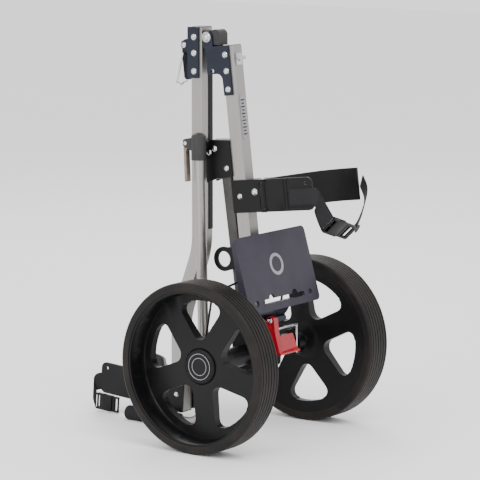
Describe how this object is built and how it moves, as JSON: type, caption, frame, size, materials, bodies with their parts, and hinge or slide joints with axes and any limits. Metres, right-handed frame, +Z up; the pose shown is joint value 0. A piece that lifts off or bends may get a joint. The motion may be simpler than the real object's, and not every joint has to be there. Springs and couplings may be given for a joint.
{
  "type": "folding golf push cart",
  "caption": "Folding golf push cart in its folded storage pose, with spoked wheels, hinged shafts, swinging bag arms, a flip-down bag plate and a fold-out handle.",
  "frame": {"origin": "bottom centre of the folded cart's overall box, on the floor", "axes": "+X along the axle to the right wheel, +Y to the back of the folded cart (handle side), +Z up"},
  "size_m": [0.344, 0.4533, 0.6262],
  "materials": {
    "aluminium": "clear anodised, fine lengthwise drawing lines",
    "black_plastic": "black moulded nylon, satin",
    "black_steel": "blue-black powder coat",
    "bright_zinc": "bright zinc plate",
    "dark_grey_tube": "dark grey satin coat",
    "dark_grey_plastic": "dark grey moulded plastic",
    "plate_plastic": "purple-grey moulded plastic",
    "emblem_grey": "pale grey print",
    "red_plastic": "glossy red moulded plastic",
    "taupe_metal": "taupe satin coat",
    "tyre_rubber": "soft rubber with fine ribs",
    "grip_foam": "ribbed soft grip",
    "webbing": "woven flat webbing"
  },
  "bodies": {
    "chassis": {"lower_shaft": "aluminium", "shaft_badge": "emblem_grey", "lower_shaft_cap": "black_plastic", "lower_hinge_plates": "black_steel", "lower_hinge_rivets": "bright_zinc", "main_pivot_bolt": "bright_zinc", "catch_hook": "bright_zinc", "centre_bracket": "black_plastic", "centre_bracket_bolts": "bright_zinc", "brace_tube": "dark_grey_tube", "stow_eye": "black_plastic", "axle_housing": "black_plastic", "axle": "bright_zinc", "axle_spacers": "bright_zinc", "side_rods": "black_steel", "plate_hinge_bracket": "black_steel", "plate_hinge_pin": "bright_zinc", "lower_bracket_mount": "black_plastic", "lower_bracket_bolt": "bright_zinc", "lower_bracket_pins": "bright_zinc", "brake_pedal_pin": "bright_zinc"},
    "bag_plate": {"base_plate": "plate_plastic", "base_plate_emblem": "emblem_grey"},
    "brake": {"brake_pedal": "red_plastic", "brake_link": "bright_zinc"},
    "left_wheel": {"tyre_left": "tyre_rubber", "rim_left": "black_plastic", "hub_cap_left": "black_plastic"},
    "right_wheel": {"tyre_right": "tyre_rubber", "rim_right": "black_plastic", "hub_cap_right": "black_plastic"},
    "upper_frame": {"upper_shaft": "aluminium", "upper_trim_strip": "black_plastic", "upper_shaft_cap": "black_plastic", "upper_hinge_plates": "black_steel", "upper_hinge_rivets": "bright_zinc", "hinge_block": "dark_grey_plastic", "latch_base": "black_steel", "latch_pin": "bright_zinc", "upper_bracket_mount": "black_plastic", "upper_bracket_bolt": "bright_zinc", "upper_bracket_pins": "bright_zinc", "handle_boss": "black_plastic"},
    "toggle_lever": {"latch_lever": "black_plastic"},
    "toggle_bail": {"latch_bail": "bright_zinc"},
    "handle": {"handle_socket": "dark_grey_plastic", "handle_tube": "aluminium", "handle_grip": "grip_foam", "cam_lever_pin": "bright_zinc"},
    "handle_cam": {"cam_lever": "taupe_metal"},
    "lower_left_arm": {"lower_arm_left": "black_plastic", "lower_strap_left": "webbing", "lower_buckle_socket": "black_plastic"},
    "lower_right_arm": {"lower_arm_right": "black_plastic", "lower_strap_right": "webbing", "lower_buckle_plug": "black_plastic"},
    "upper_left_arm": {"upper_arm_left": "black_plastic", "upper_strap": "webbing", "upper_buckle": "black_plastic"},
    "upper_right_arm": {"upper_arm_right": "black_plastic"}
  },
  "joints": [
    {"name": "main_fold", "type": "hinge", "parent": "chassis", "child": "upper_frame", "pos_m": [0, -0.00199, 0.61119], "axis": [1, 0, 0], "range_deg": [0, 173.4]},
    {"name": "bag_plate_fold", "type": "hinge", "parent": "chassis", "child": "bag_plate", "pos_m": [0, -0.13028, 0.20665], "axis": [1, 0, 0], "range_deg": [0, 99]},
    {"name": "brake_press", "type": "hinge", "parent": "chassis", "child": "brake", "pos_m": [0, -0.1295, 0.187], "axis": [1, 0, 0], "range_deg": [0, 20]},
    {"name": "left_wheel_spin", "type": "hinge", "parent": "chassis", "child": "left_wheel", "pos_m": [-0.1475, -0.0865, 0.13], "axis": [1, 0, 0], "continuous": true},
    {"name": "right_wheel_spin", "type": "hinge", "parent": "chassis", "child": "right_wheel", "pos_m": [0.1475, -0.0865, 0.13], "axis": [1, 0, 0], "continuous": true},
    {"name": "lower_left_arm_swing", "type": "hinge", "parent": "chassis", "child": "lower_left_arm", "pos_m": [-0.014, -0.10939, 0.37557], "axis": [0, -0.1149, -0.9934], "range_deg": [0, 74]},
    {"name": "lower_right_arm_swing", "type": "hinge", "parent": "chassis", "child": "lower_right_arm", "pos_m": [0.014, -0.10939, 0.37557], "axis": [0, 0.1149, 0.9934], "range_deg": [0, 16]},
    {"name": "latch_lever_throw", "type": "hinge", "parent": "upper_frame", "child": "toggle_lever", "pos_m": [0, 0.04511, 0.59669], "axis": [1, 0, 0], "range_deg": [0, 100]},
    {"name": "latch_bail_swing", "type": "hinge", "parent": "toggle_lever", "child": "toggle_bail", "pos_m": [0, 0.04411, 0.58369], "axis": [1, 0, 0], "range_deg": [-15, 30]},
    {"name": "handle_swing", "type": "hinge", "parent": "upper_frame", "child": "handle", "pos_m": [-0.032, 0.00011, 0.447], "axis": [1, 0, 0], "range_deg": [-6, 45]},
    {"name": "handle_cam_throw", "type": "hinge", "parent": "handle", "child": "handle_cam", "pos_m": [-0.032, 0.0205, 0.449], "axis": [1, 0, 0], "range_deg": [0, 100]},
    {"name": "upper_left_arm_swing", "type": "hinge", "parent": "upper_frame", "child": "upper_left_arm", "pos_m": [-0.014, 0.10078, 0.04981], "axis": [0, -0.0698, 0.9976], "range_deg": [0, 74]},
    {"name": "upper_right_arm_swing", "type": "hinge", "parent": "upper_frame", "child": "upper_right_arm", "pos_m": [0.014, 0.10078, 0.04981], "axis": [0, 0.0698, -0.9976], "range_deg": [-18, 24]}
  ]
}
